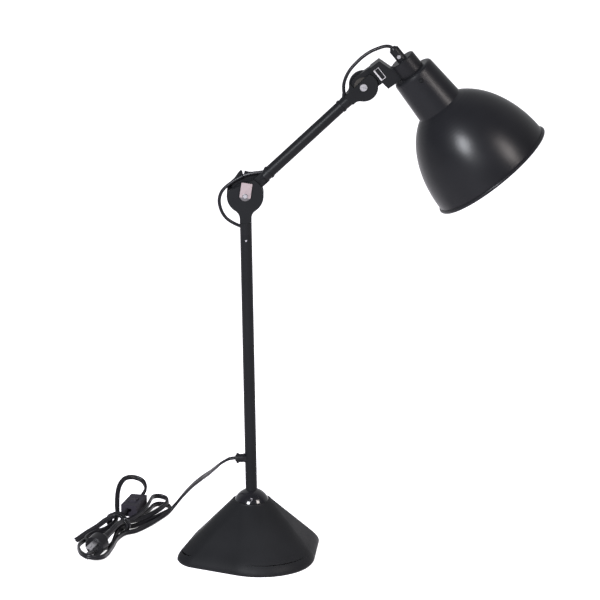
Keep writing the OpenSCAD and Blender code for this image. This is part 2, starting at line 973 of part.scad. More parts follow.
module holder_body() {
  top = neck_height - shade_sheet;
  color([0.05, 0.045, 0.04])
    at_shade()
      difference() {
        union() {
          translate([0, 0, top - 36])
            cylinder(r = 19.5, h = 36, $fn = smooth);
          translate([0, 0, top - 0.1])
            cylinder(r = 11.5, h = 7, $fn = smooth);
        }
        translate([0, 0, top - 37])
          cylinder(r = 14.6, h = 32, $fn = smooth);
        for (side = [-1, 1])
          translate([side * 6, 0, top - 10])
            cylinder(r = 1.6, h = 20, $fn = small);
      }
}

module holder_thread() {
  color([0.8, 0.65, 0.3])
    at_shade()
      translate([0, 0, neck_height - 37])
        difference() {
          cylinder(r = 14.5, h = 28, $fn = smooth);
          translate([0, 0, -1])
            cylinder(r = 13.9, h = 30, $fn = smooth);
        }
}

// Spring tongue that touches the bulb's tip
module holder_contact() {
  color([0.8, 0.65, 0.3])
    at_shade()
      translate([0, 0, neck_height - shade_sheet - 6.2])
        union() {
          cylinder(r = 5, h = 1.1, $fn = small);
          translate([0, 0, -1.6])
            cylinder(r1 = 2, r2 = 4, h = 1.7, $fn = small);
        }
}

// Bell shade: spun neck, elliptical bowl and a rolled bead at the rim
function bowl_radius(z, in) =
  (rim_radius - bead_radius - in) * sqrt(1 - pow(z / (bowl_depth - in), 2));

module shade() {
  steps = 28;
  join = bowl_depth * sqrt(1 - pow(neck_bottom / 2 / (rim_radius - bead_radius), 2));
  inner = bowl_depth - shade_sheet;
  join_in = inner * sqrt(1 - pow((neck_bottom / 2 - shade_sheet) / (rim_radius - bead_radius - shade_sheet), 2));
  shoulder = 4;
  outline = concat(
    [for (k = [0:steps]) [bowl_radius(join * k / steps, 0), join * k / steps]],
    [[neck_top / 2, neck_height - shoulder]],
    [for (a = [22.5:22.5:90]) [neck_top / 2 - shoulder + shoulder * cos(a), neck_height - shoulder + shoulder * sin(a)]],
    [[12, neck_height], [12, neck_height - shade_sheet]],
    [for (a = [90:-30:0]) [neck_top / 2 - shoulder + (shoulder - shade_sheet) * cos(a), neck_height - shoulder + (shoulder - shade_sheet) * sin(a)]],
    [for (k = [steps:-1:0]) [bowl_radius(join_in * k / steps, shade_sheet), join_in * k / steps]]
  );
  color([0.04, 0.04, 0.045])
    at_shade()
      difference() {
        union() {
          rotate_extrude($fn = smooth)
            polygon(outline);
          rotate_extrude($fn = smooth)
            translate([rim_radius - bead_radius, 0])
              circle(r = bead_radius, $fn = 16);
        }
        shade_screw_places()
          cylinder(r = 1.5 + fit, h = 20, $fn = small);
      }
}

// Three places around the neck, looking inward
module shade_screw_places() {
  for (turn = [-78, 42, 162])
    rotate([0, 0, turn])
      translate([neck_top / 2 + 4, 0, neck_height - 9])
        rotate([0, -90, 0])
          children();
}

module shade_screws() {
  color([0.2, 0.2, 0.2])
    at_shade()
      shade_screw_places() {
        translate([0, 0, 3.2])
          cylinder(r = 1.5, h = 3.2, $fn = small);
        translate([0, 0, 2])
          cylinder(r1 = 1.6, r2 = 2.4, h = 1.5, $fn = small);
      }
}

// Threaded ring inside the neck
module shade_ring() {
  color([0.05, 0.05, 0.05])
    at_shade()
      difference() {
        translate([0, 0, neck_height - 14])
          cylinder(r = 22.4, h = 9.5, $fn = smooth);
        translate([0, 0, neck_height - 15])
          cylinder(r = 19.5 + fit, h = 12, $fn = smooth);
        shade_screw_places()
          cylinder(r = 1.5 + fit, h = 20, $fn = small);
      }
}

// ---------- bulb ----------
module bulb_glass() {
  color([0.95, 0.95, 0.9, 0.8])
    at_shade()
      difference() {
        union() {
          translate([0, 0, 58])
            sphere(r = 30, $fn = smooth);
          translate([0, 0, 58 + 21])
            cylinder(r1 = 21.4, r2 = 13, h = 22, $fn = smooth);
        }
        translate([0, 0, 58])
          sphere(r = 29, $fn = smooth);
        translate([0, 0, 58 + 20])
          cylinder(r1 = 20.4, r2 = 11.6, h = 24, $fn = smooth);
      }
}

module bulb_cap() {
  color([0.75, 0.75, 0.75])
    at_shade()
      translate([0, 0, 101])
        difference() {
          union() {
            cylinder(r = 13.4, h = 22, $fn = smooth);
            translate([0, 0, 21.9])
              cylinder(r1 = 12, r2 = 6, h = 3, $fn = smooth);
          }
          translate([0, 0, -1])
            cylinder(r = 12.4, h = 20, $fn = smooth);
        }
}

module bulb_contact() {
  color([0.6, 0.6, 0.55])
    at_shade()
      translate([0, 0, 125.9])
        cylinder(r1 = 5, r2 = 4, h = 1.9, $fn = small);
}

// ---------- mains cord ----------
module mains_cord() {
  color([0.02, 0.02, 0.02])
    lead(mains_route, cord_width, cord_thickness, [0.3, 0.3, 1], steps = 5, sides = 12);
}

// Children stand at the tie of the hank with X along it
module at_hank() {
  translate([-129, 90, 0])
    rotate(hank_turn)
      children();
}

// The tied hank as one solid: a long outline with round ends, let in where the tie grips it
module mains_hank() {
  color([0.02, 0.02, 0.02])
    at_hank()
      difference() {
        linear_extrude(hank_height)
          hull()
            for (x = [-hank_half, hank_half])
              translate([x, 0])
                circle(r = hank_radius, $fn = 48);
        tie_ring(fit);
      }
}

// Square ring round the hank, grown by a clearance
module tie_ring(gap) {
  wall = tie_thickness + gap;
  width = tie_width + 2 * gap;
  inner_side = 2 * (hank_radius - wall);
  translate([tie_place, 0, 0])
    difference() {
      translate([-width / 2, -hank_radius, 0])
        cube([width, 2 * hank_radius, hank_height]);
      translate([-width, -inner_side / 2, wall])
        cube([2 * width, inner_side, hank_height - 2 * wall]);
    }
}

// Tie that holds the hank together
module hank_tie() {
  color([0.03, 0.03, 0.03])
    at_hank()
      tie_ring(0);
}

// In-line switch lying on the hank
module at_switch() {
  at_hank()
    translate([10, 6, hank_height])
      rotate(switch_turn)
        children();
}

module switch_shell(z0, z1) {
  translate([-switch_length / 2, -switch_width / 2, z0])
    cube([switch_length, switch_width, z1 - z0]);
}

module switch_room(z0, z1) {
  translate([-switch_cavity.x / 2, -switch_cavity.y / 2, z0])
    cube([switch_cavity.x, switch_cavity.y, z1 - z0]);
}

// Slot for the cord in at one end of the switch and out at the other
module switch_cord_entries() {
  translate([0, 0, 7])
    cube([60, cord_width + 2 * fit, cord_thickness + 2 * fit], center = true);
}

module switch_bottom() {
  color([0.05, 0.05, 0.05])
    at_switch()
      difference() {
        switch_shell(0, 7);
        switch_room(1.5, 11.5);
        switch_cord_entries();
        switch_screw_places()
          cylinder(r = 1 + fit, h = 20, $fn = small);
      }
}

module switch_top() {
  color([0.05, 0.05, 0.05])
    at_switch()
      difference() {
        switch_shell(7, 13);
        switch_room(5, 11.5);
        translate([-8, -4.5, 5])
          cube([16, 9, 20]);
        switch_cord_entries();
        translate([0, 0, 11])
          pin(1.5 + fit, -6, 6, small);
        switch_screw_places()
          cylinder(r = 1 + fit, h = 11, $fn = small);
      }
}

// Rocker that tips about its cross pin
module switch_rocker() {
  color([0.08, 0.08, 0.08])
    at_switch()
      translate([0, 0, 11])
        rotate([0, 8, 0])
          union() {
            upright(-4.2, 4.2)
              polygon([[-7, -1], [-3, -3.5], [3, -3.5], [7, -1], [7, 2.6], [0, 3.6], [-7, 2.6]]);
            pin(1.5, -5.8, 5.8, small);
          }
}

module switch_screw_places() {
  for (side = [-1, 1])
    translate([side * (switch_length / 2 - 2.2), side * 6, -1])
      children();
}

module switch_screws() {
  color([0.6, 0.6, 0.6])
    at_switch()
      switch_screw_places() {
        translate([0, 0, 1.2])
          cylinder(r = 1, h = 9, $fn = small);
      }
}

// Children stand at the plug's face with Z pointing out along its blades
module at_plug() {
  translate([-171, -10, plug_radius])
    rotate([0, 0, plug_turn])
      rotate([0, 90 + plug_dip, 0])
        rotate(plug_roll)
          children();
}

module plug_body() {
  color([0.03, 0.03, 0.03])
    at_plug()
      difference() {
        rotate_extrude($fn = smooth)
          polygon([[0, -40], [2.8, -40], [3.8, -26], [7, -19], [plug_radius, -14], [plug_radius, -1], [plug_radius - 1, 0], [0, 0]]);
        plug_blade_places()
          cube([1.6 + 2 * fit, 6.3 + 2 * fit, 22], center = true);
      }
}

module plug_blade_places() {
  for (side = [-1, 1])
    translate([side * 6.35, 0, 0])
      children();
}

module plug_pins() {
  color([0.8, 0.8, 0.8])
    at_plug()
      plug_blade_places()
        translate([0, 0, 3])
          difference() {
            cube([1.6, 6.3, 27], center = true);
            translate([-5, 0, 9])
              rotate([0, 90, 0])
                cylinder(r = 1.5, h = 10, $fn = small);
          }
}

base_casting();
base_bottom_plate();
base_pad();
base_plate_screws();
ball_seat();
thrust_bowl();
ball_liner();
seat_springs();
spring_plug();
stem_ball();
stem_tube();
gland_body();
gland_nut();
gland_grommet();
stem_lead();
tube_cross_pins();
elbow_fork();
elbow_washer();
elbow_lock_plate();
elbow_screw();
elbow_nut();
elbow_friction_discs();
elbow_lead();
arm_elbow_head();
arm_rivet();
arm_ferrules();
arm_tube();
arm_lead();
head_fork();
head_lock_plate();
head_screw();
head_nut();
head_friction_discs();
head_lead();
head_knuckle();
knuckle_screws();
holder_cap();
cord_grip();
grip_bush();
grip_screw();
holder_body();
holder_thread();
holder_contact();
shade();
shade_ring();
shade_screws();
bulb_glass();
bulb_cap();
bulb_contact();
mains_cord();
mains_hank();
hank_tie();
switch_top();
switch_bottom();
switch_rocker();
switch_screws();
plug_body();
plug_pins();
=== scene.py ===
"""Swing arm desk lamp: looks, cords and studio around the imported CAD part.

Lengths are in metres, apart from the routes of the cords, which are in mm.
"""
import math

import bpy
from mathutils import Matrix, Vector

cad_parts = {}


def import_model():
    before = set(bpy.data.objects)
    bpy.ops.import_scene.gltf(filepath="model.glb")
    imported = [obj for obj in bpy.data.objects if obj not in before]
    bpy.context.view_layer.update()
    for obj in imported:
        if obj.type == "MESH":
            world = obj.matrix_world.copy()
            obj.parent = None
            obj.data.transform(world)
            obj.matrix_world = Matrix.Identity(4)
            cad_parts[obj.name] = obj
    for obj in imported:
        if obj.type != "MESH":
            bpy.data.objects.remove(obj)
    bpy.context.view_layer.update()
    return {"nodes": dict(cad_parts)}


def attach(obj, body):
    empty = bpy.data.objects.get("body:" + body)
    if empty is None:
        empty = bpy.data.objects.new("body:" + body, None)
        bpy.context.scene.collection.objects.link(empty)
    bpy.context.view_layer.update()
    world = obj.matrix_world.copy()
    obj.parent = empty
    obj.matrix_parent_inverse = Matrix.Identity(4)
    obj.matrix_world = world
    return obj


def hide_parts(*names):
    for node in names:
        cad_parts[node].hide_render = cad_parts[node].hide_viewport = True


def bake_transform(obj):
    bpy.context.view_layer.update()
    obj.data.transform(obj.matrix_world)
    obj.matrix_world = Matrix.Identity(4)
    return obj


# camera
CAMERA_ELEVATION = 16.8
CAMERA_DISTANCE = 6.0
PICTURE_WIDTH = 0.642        # width of the view where the lamp stands
CAMERA_TARGET = (0.0522, 0.0, 0.2873)

# studio
BEAM_SPREAD = 75.0           # gridded soft boxes, degrees
LIGHTS_AIM = (0.08, 0.0, 0.28)
FLOOR_HALF_WIDTH = 6.0
FLOOR_GAP = 0.0002           # between the floor and the foot
FLOOR_GLOW = 0.92            # keeps the floor white in the whole view
WORLD_FRONT = 0.03
WORLD_BACK = 0.9

# the lamp's own frames, as in the CAD source
BALL_HEIGHT = 0.055
STEM_LEAN = 1.0
STEM_LENGTH = 0.350
ARM_LENGTH = 0.173
ARM_ANGLE = 43.5
SHADE_DROP = 51.5
HOLDER_OFFSET = 0.0496
PIVOT_TO_RIM = 0.1573
RIM_RADIUS = 0.0705

# cords
MAINS_WIDTH = 0.0054
MAINS_THICKNESS = 0.0034
LEAD_DIAMETER = 0.0036
TIE_WIDTH = 0.0042
TIE_THICKNESS = 0.0022
TIE_TURNS = 2
TIE_PITCH = 0.0046           # from one turn of the tie to the next
TIE_HALF_WIDTH = 0.0155
TIE_HALF_HEIGHT = 0.0096

# x where each section of the mains cord ends; the sections below also list the bodies each runs between
TOP_END_X = -0.038
MIDDLE_END_X = -0.055
LOW_END_X = -0.092


def mm(*values):
    return Vector([v / 1000 for v in values])


# ---------- curves and swept meshes ----------
def smooth_path(points, step=0.0012):
    """Points along a centripetal Catmull-Rom curve through points, about step apart."""
    ends = [2 * points[0] - points[1]] + list(points) + [2 * points[-1] - points[-2]]
    path = []
    for before, a, b, after in zip(ends, ends[1:], ends[2:], ends[3:]):
        t0 = 0.0
        t1 = t0 + max((a - before).length, 1e-6) ** 0.5
        t2 = t1 + max((b - a).length, 1e-6) ** 0.5
        t3 = t2 + max((after - b).length, 1e-6) ** 0.5
        count = max(2, round((b - a).length / step))
        for k in range(count):
            t = t1 + (t2 - t1) * k / count
            a1 = before.lerp(a, (t - t0) / (t1 - t0))
            a2 = a.lerp(b, (t - t1) / (t2 - t1))
            a3 = b.lerp(after, (t - t2) / (t3 - t2))
            b1 = a1.lerp(a2, (t - t0) / (t2 - t0))
            b2 = a2.lerp(a3, (t - t1) / (t3 - t1))
            path.append(b1.lerp(b2, (t - t1) / (t2 - t1)))
    path.append(points[-1].copy())
    return path


def path_length(path):
    return sum((b - a).length for a, b in zip(path, path[1:]))


def twin_outline(width, thickness, sides=24):
    """Two cores side by side: a flat outline with a groove along each face."""
    outline = []
    for k in range(sides):
        angle = 2 * math.pi * k / sides
        across = math.cos(angle) * width / 2
        rise = abs(math.sin(angle)) ** 0.6 * thickness / 2
        groove = 1 - 0.28 * math.exp(-((across / (0.13 * width)) ** 2))
        outline.append((across, math.copysign(rise * groove, math.sin(angle))))
    return outline


def round_outline(diameter, sides=16):
    turns = [2 * math.pi * k / sides for k in range(sides)]
    return [(math.cos(t) * diameter / 2, math.sin(t) * diameter / 2) for t in turns]


def roll_at(rolls, share):
    """Roll in degrees at a share of the length, eased between (share, degrees) pairs."""
    for (s0, r0), (s1, r1) in zip(rolls, rolls[1:]):
        if share <= s1:
            t = max(0.0, min(1.0, (share - s0) / max(s1 - s0, 1e-9)))
            return r0 + (r1 - r0) * t * t * (3 - 2 * t)
    return rolls[-1][1]


def sweep(name, path, outline, rolls=((0, 0), (1, 0)), level=True):
    """Closed mesh of outline carried along path.

    level keeps the outline's width level before it is rolled.
    """
    total = path_length(path)
    run = 0.0
    side = None
    vertices = []
    for i, point in enumerate(path):
        if i:
            run += (point - path[i - 1]).length
        ahead = path[min(i + 1, len(path) - 1)] - path[max(i - 1, 0)]
        ahead.normalize()
        flat = ahead.cross(Vector((0, 0, 1)))
        carried = flat if side is None else side - ahead * side.dot(ahead)
        if level and flat.length > 0.25:
            if carried.dot(flat) < 0:
                flat = -flat
            carried = carried.normalized().lerp(flat.normalized(), 0.12)
        side = carried.normalized()
        up = side.cross(ahead).normalized()
        roll = math.radians(roll_at(rolls, run / total))
        wide = side * math.cos(roll) + up * math.sin(roll)
        high = up * math.cos(roll) - side * math.sin(roll)
        vertices += [point + wide * u + high * v for u, v in outline]
    n = len(outline)
    faces = []
    for i in range(len(path) - 1):
        for k in range(n):
            j = (k + 1) % n
            faces.append((i * n + k, i * n + j, (i + 1) * n + j, (i + 1) * n + k))
    faces.append(tuple(range(n))[::-1])
    faces.append(tuple(range(len(vertices) - n, len(vertices))))
    mesh = bpy.data.meshes.new(name)
    mesh.from_pydata([tuple(v) for v in vertices], [], faces)
    mesh.update()
    mesh.polygons.foreach_set("use_smooth", [True] * len(mesh.polygons))
    mesh.set_sharp_from_angle(angle=math.radians(50))
    piece = bpy.data.objects.new(name, mesh)
    bpy.context.scene.collection.objects.link(piece)
    return piece


# ---------- materials ----------
class Shader:
    """Small helper that adds and joins nodes of one material."""

    def __init__(self, name):
        self.material = bpy.data.materials.new(name)
        self.material.use_nodes = True
        self.tree = self.material.node_tree
        self.surface = self.tree.nodes["Principled BSDF"]
        place = self.tree.nodes.new("ShaderNodeTexCoord")
        self.position = place.outputs["Object"]

    def node(self, kind, **inputs):
        made = self.tree.nodes.new(kind)
        for key, value in inputs.items():
            socket = made.inputs[key.replace("_", " ")]
            if hasattr(value, "links"):
                self.tree.links.new(value, socket)
            else:
                socket.default_value = value
        return made

    def noise(self, scale, detail=3.0, stretch=None, roughness=0.55):
        vector = self.position
        if stretch:
            vector = self.node("ShaderNodeMapping", Vector=vector, Scale=stretch).outputs["Vector"]
        made = self.node("ShaderNodeTexNoise", Vector=vector, Scale=scale, Detail=detail, Roughness=roughness)
        return made.outputs["Fac"]

    def spread(self, value, low, high, start=0.3, end=0.7):
        """value mapped from start..end onto low..high."""
        made = self.node("ShaderNodeMapRange", Value=value)
        made.inputs["From Min"].default_value = start
        made.inputs["From Max"].default_value = end
        made.inputs["To Min"].default_value = low
        made.inputs["To Max"].default_value = high
        return made.outputs["Result"]

    def mix(self, share, first, second):
        made = self.tree.nodes.new("ShaderNodeMix")
        made.data_type = "RGBA"
        self.tree.links.new(share, made.inputs[0])
        for socket, value in ((made.inputs[6], first), (made.inputs[7], second)):
            if hasattr(value, "links"):
                self.tree.links.new(value, socket)
            else:
                socket.default_value = (*value, 1.0)
        return made.outputs[2]

    def bump(self, height, strength, distance):
        made = self.node("ShaderNodeBump", Height=height, Strength=strength, Distance=distance)
        self.tree.links.new(made.outputs["Normal"], self.surface.inputs["Normal"])
        return made

    def set(self, name, value):
        socket = self.surface.inputs[name]
        if hasattr(value, "links"):
            self.tree.links.new(value, socket)
        else:
            socket.default_value = value


def varied(shader, colour, change, scale):
    """Colour that drifts lighter and darker by change over patches of about 1/scale metres."""
    dark = [c * (1 - change) for c in colour]
    light = [min(1.0, c * (1 + change)) for c in colour]
    return shader.mix(shader.spread(shader.noise(scale), 0, 1), dark, light)


def paint(name, colour, roughness, grain, specular=0.5, wear=0.02):
    """Sprayed paint: slight orange peel, handling marks that are a little shinier, rare pale scuffs."""
    s = Shader(name)
    base = varied(s, colour, 0.18, 14.0)
    scuff = s.spread(s.noise(160.0, 6.0, roughness=0.7), 0, 1, 0.70, 0.80)
    s.set("Base Color", s.mix(scuff, base, [c + wear for c in colour]))
    s.set("Roughness", s.spread(s.noise(22.0, 4.0), roughness * 0.86, roughness * 1.14))
    s.set("Specular IOR Level", specular)
    s.bump(s.noise(900.0, 2.0), grain, 0.0002)
    return s.material


def metal(name, colour, roughness, stretch=None, grain=0.15):
    """Bare metal with fine tool or rolling marks along its long side."""
    s = Shader(name)
    marks = s.noise(420.0, 5.0, stretch=stretch)
    stain = s.spread(s.noise(60.0, 4.0), 0, 1, 0.45, 0.8)
    s.set("Base Color", s.mix(stain, colour, [c * 0.78 for c in colour]))
    s.set("Metallic", 1.0)
    s.set("Roughness", s.spread(marks, roughness * 0.75, roughness * 1.3))
    s.bump(marks, grain, 0.00015)
    return s.material


def moulded(name, colour, roughness, grain=0.12, specular=0.5):
    """Moulded plastic or rubber: fine texture, dust in the hollows."""
    s = Shader(name)
    base = varied(s, colour, 0.15, 45.0)
    dust = s.spread(s.noise(240.0, 6.0, roughness=0.75), 0, 0.5, 0.62, 0.85)
    s.set("Base Color", s.mix(dust, base, [min(1.0, c * 1.5 + 0.012) for c in colour]))
    s.set("Roughness", s.spread(s.noise(70.0, 4.0), roughness * 0.88, roughness * 1.15))
    s.set("Specular IOR Level", specular)
    s.bump(s.noise(1400.0, 3.0), grain, 0.0001)
    return s.material


def frosted_glass(name):
    s = Shader(name)
    s.set("Base Color", varied(s, (0.90, 0.89, 0.86), 0.03, 20.0))
    s.set("Roughness", s.spread(s.noise(300.0), 0.38, 0.5))
    s.set("Transmission Weight", 0.35)
    s.set("IOR", 1.5)
    s.bump(s.noise(1800.0), 0.1, 0.0001)
    return s.material


def make_finishes():
    return {
        "casting": paint("casting_black", (0.0048, 0.0050, 0.0056), 0.52, 0.42, specular=0.05, wear=0.006),
        "satin": paint("satin_black", (0.0048, 0.0050, 0.0056), 0.34, 0.14, specular=0.06, wear=0.008),
        "tube": paint("tube_black", (0.0045, 0.0047, 0.0053), 0.38, 0.12, specular=0.05, wear=0.008),
        "gloss": paint("gloss_black", (0.005, 0.005, 0.006), 0.16, 0.05, specular=0.25, wear=0.008),
        "shade": paint("shade_black", (0.0045, 0.0046, 0.0054), 0.33, 0.10, specular=0.08, wear=0.004),
        "white": paint("shade_white", (0.78, 0.77, 0.74), 0.42, 0.12, wear=-0.06),
        "steel": metal("bright_steel", (0.50, 0.49, 0.50), 0.32, stretch=(1, 1, 6)),
        "warm_steel": metal("warm_steel", (0.27, 0.225, 0.23), 0.42, stretch=(6, 1, 1)),
        "dark_steel": metal("dark_steel", (0.12, 0.115, 0.12), 0.34),
        "plated": metal("plated_steel", (0.34, 0.335, 0.35), 0.30),
        "zinc": metal("zinc_plate", (0.42, 0.42, 0.43), 0.45),
        "brass": metal("brass", (0.70, 0.52, 0.24), 0.32),
        "aluminium": metal("aluminium", (0.72, 0.73, 0.74), 0.36, stretch=(1, 1, 4)),
        "black_plastic": moulded("black_plastic", (0.0045, 0.0045, 0.0052), 0.38, specular=0.07),
        "switch_plastic": moulded("switch_plastic", (0.010, 0.009, 0.0125), 0.55, grain=0.2, specular=0.08),
        "fibre": moulded("pressed_fibre", (0.016, 0.015, 0.014), 0.8, grain=0.4, specular=0.05),
        "rubber": moulded("rubber", (0.012, 0.012, 0.012), 0.8, grain=0.35, specular=0.15),
        "cord": moulded("cord_black", (0.0035, 0.0035, 0.0044), 0.38, grain=0.10, specular=0.11),
        "glass": frosted_glass("frosted_glass"),
    }


NODE_FINISH = {
    "casting": ("base_casting",),
    "zinc": ("base_bottom_plate", "base_plate_screws", "seat_springs", "spring_plug"),
    "rubber": ("base_pad", "gland_grommet"),
    "brass": ("thrust_bowl", "holder_thread", "holder_contact"),
    "gloss": ("stem_ball",),
    "tube": ("stem_tube", "arm_tube", "arm_ferrules"),
    "satin": ("elbow_fork", "arm_elbow_head", "arm_rivet", "head_fork", "head_knuckle", "shade_screws"),
    "warm_steel": ("elbow_lock_plate",),
    "dark_steel": ("elbow_washer",),
    "steel": ("head_lock_plate",),
    "plated": (
        "elbow_screw", "elbow_nut", "head_screw", "head_nut", "knuckle_screws", "grip_screw",
        "tube_cross_pins", "switch_screws", "plug_pins",
    ),
    "fibre": ("elbow_friction_discs", "head_friction_discs"),
    "black_plastic": (
        "gland_body", "gland_nut", "holder_cap", "cord_grip", "grip_bush", "holder_body", "shade_ring",
        "plug_body", "ball_seat", "ball_liner",
    ),
    "switch_plastic": ("switch_top", "switch_bottom", "switch_rocker"),
    "shade": ("shade",),
    "glass": ("bulb_glass",),
    "aluminium": ("bulb_cap", "bulb_contact"),
    "cord": ("stem_lead", "arm_lead", "elbow_lead", "head_lead", "mains_cord", "mains_hank", "hank_tie"),
}


def paint_nodes(nodes, finishes):
    for finish, names in NODE_FINISH.items():
        for name in names:
            mesh = nodes[name].data
            mesh.materials.clear()
            mesh.materials.append(finishes[finish])
            mesh.polygons.foreach_set("material_index", [0] * len(mesh.polygons))


def paint_shade_inside(shade, white):
    """White enamel on the faces that look in at the shade's axis."""
    axis = shade_axis()
    centre = rim_centre()
    shade.data.materials.append(white)
    for face in shade.data.polygons:
        from_rim = face.center - centre
        outward = from_rim - axis * from_rim.dot(axis)
        looks_in = face.normal.dot(outward.normalized()) < -0.05 or face.normal.dot(axis) < -0.9
        within = outward.length < RIM_RADIUS - 0.0035
        if looks_in and within:
            face.material_index = 1


# ---------- the lamp's frames ----------
def elbow_pivot():
    lean = math.radians(STEM_LEAN)
    return Vector((-STEM_LENGTH * math.sin(lean), 0, BALL_HEIGHT + STEM_LENGTH * math.cos(lean)))


def head_pivot():
    angle = math.radians(ARM_ANGLE)
    return elbow_pivot() + ARM_LENGTH * Vector((math.cos(angle), 0, math.sin(angle)))


def shade_axis():
    """Unit vector from the rim towards the lampholder cap."""
    drop = math.radians(SHADE_DROP)
    return Vector((-math.cos(drop), 0, math.sin(drop)))


def rim_centre():
    axis = shade_axis()
    across = Vector((axis.z, 0, -axis.x))
    return head_pivot() + across * HOLDER_OFFSET - axis * PIVOT_TO_RIM


# ---------- mains cord ----------
# From the gland down to the table, points in mm
DESCENT = [
    (-16.2, 0, 109.3), (-20, 0, 109.1), (-24, 0.6, 108.2), (-31, 8, 102), (-38, 25, 91),
    (-46, 47, 77), (-55, 70, 63), (-67, 94, 45), (-78, 112, 27), (-86, 118, 15),
    (-94, 115, 7), (-103, 106, 3.6), (-113, 89, 3), (-128, 66, 3.2),
]

# Hank: the cord goes to and fro through the tie. Points in mm
HANK = [
    # out round the plug's blades and back along the left
    (-139, 56, 4), (-147, 38, 4), (-151.5, 12, 4), (-156.5, -12, 4), (-161, -25, 5),
    (-168.5, -33, 6.8), (-177, -33.5, 8.4), (-183.5, -26, 9), (-187, -12, 9), (-187.5, 5, 8), (-181, 26, 7),
    (-170, 45, 7), (-155, 63, 9),
    # the lower loop at the far end
    (-142, 80, 7.5), (-125, 103, 7.5), (-114, 123, 8.5), (-110.5, 135, 8.5), (-105, 143, 8),
    (-97.5, 144, 7), (-92, 138, 6), (-92.5, 129, 5.4), (-99.5, 118, 5), (-108.5, 105.5, 4.5), (-120, 91.5, 4),
    (-132, 77.5, 4.5),
    # a fold under the plug's tail
    (-141, 66, 8), (-148, 48, 7), (-151, 30, 4), (-153.5, 17, 3.6), (-159.5, 8.5, 3.6),
    (-168, 8.5, 3.6), (-174, 16.5, 3.8), (-174, 30, 4), (-166.5, 46, 5), (-154, 62, 6),
    # through the switch and round the loop that leans over it
    (-144, 68.5, 12), (-141.5, 74, 17), (-138.6, 80, 20.4), (-134.6, 90, 21), (-131, 104, 21),
    (-126.5, 118, 21.2), (-122.5, 124.5, 24), (-118.5, 131, 30), (-122, 139.5, 36), (-131, 141.5, 39.5),
    (-140, 136.5, 40.5), (-146, 124.5, 38), (-148.6, 113, 32), (-149, 98, 22), (-148.5, 85, 15),
    # second fold
    (-151, 70, 12), (-160, 54, 10), (-171, 45, 9), (-178.5, 34, 8.4), (-181, 22, 8.4),
    (-176, 12.5, 8.4), (-166.5, 11.5, 8.8), (-160, 20.5, 9.2), (-154, 36, 11), (-147, 54, 13),
    # the upper loop at the far end
    (-137, 70, 14), (-127, 82, 15.5), (-118, 99, 18), (-114, 117, 19), (-112, 132, 18.4), (-110, 141, 17.2),
    (-103.8, 147.2, 15.8), (-96.8, 145, 14.2), (-94.6, 137, 12.8), (-99, 126, 11),
    (-109.5, 108, 9.5), (-124, 88, 9.5),
    # into the plug
    (-136, 70, 12.5), (-143, 54, 17.4), (-148, 41, 18.6), (-152.2, 30.2, 17.3), (-155.5, 22, 16),
]

# Where the flat cord lies level (0) or stands on its edge (90), by share of the low section
LOW_ROLLS = (
    (0, 82), (0.03, 60), (0.075, 12), (0.12, 78), (0.30, 88), (0.45, 80), (0.60, 80), (0.631, 60),
    (0.65, 20), (0.675, 15), (0.70, 80), (0.80, 84), (1, 60),
)


def split_at_x(path, limit):
    """The path before and after it first passes x = limit, with that point in both."""
    for i, point in enumerate(path):
        if point.x <= limit:
            return path[: i + 1], path[i:]
    raise ValueError("the path never reaches that x")


def lay_mains_cord(material):
    route = smooth_path([mm(*p) for p in DESCENT + HANK])
    top, rest = split_at_x(route, TOP_END_X)
    middle, low = split_at_x(rest, MIDDLE_END_X)
    outline = twin_outline(MAINS_WIDTH, MAINS_THICKNESS)
    plug_end = ["plug_body", "plug_pins", "switch_top", "switch_bottom", "switch_rocker", "switch_screws"]
    top_rolls = ((0, 0), (0.35, 0), (1, 48))
    middle_rolls = ((0, 48), (1, 82))
    sections = [
        ("mains_cord_top", top, top_rolls, "stem", "liner", top[0].x, TOP_END_X, "object", []),
        ("mains_cord_middle", middle, middle_rolls, "liner", "bowl", TOP_END_X, MIDDLE_END_X, "object", []),
        ("mains_cord_low", low, LOW_ROLLS, "bowl", "base", MIDDLE_END_X, LOW_END_X, "plug", plug_end),
    ]
    for name, path, rolls, first, second, start_x, end_x, far_end, with_pieces in sections:
        piece = sweep(name, path, outline, rolls)
        piece.data.materials.append(material)
        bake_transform(piece)
        if name == "mains_cord_low":
            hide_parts("mains_cord", "mains_hank")
            print("mains cord in all:", round(path_length(route), 3), "m")


def wrap_tie(material):
    """Two turns round the hank, and both ends laid side by side towards the plug."""
    centre = mm(-146.5, 71, 11.4)
    ahead = Vector((0.66, 0.751, 0))
    across = Vector((0.751, -0.66, 0))
    steps = 22
    points = [mm(-192.4, 30, 6.5), mm(-181.6, 47, 9), mm(-170, 58, 13), mm(-160, 66, 18)]
    for k in range(TIE_TURNS * steps + 1):
        angle = math.pi / 2 - 2 * math.pi * k / steps
        along = ahead * ((k / steps - TIE_TURNS / 2) * TIE_PITCH)
        sideways = across * TIE_HALF_WIDTH * math.cos(angle)
        upward = Vector((0, 0, TIE_HALF_HEIGHT * math.sin(angle)))
        points.append(centre + along + sideways + upward)
    points += [mm(-158, 60, 18), mm(-168.5, 51, 13), mm(-180, 40, 9), mm(-191, 25, 5.5)]
    outline = twin_outline(TIE_WIDTH, TIE_THICKNESS, 16)
    tie = sweep("tie_wraps", smooth_path(points), outline, ((0, 20), (1, 20)))
    tie.data.materials.append(material)
    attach(tie, "base")
    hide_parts("hank_tie")


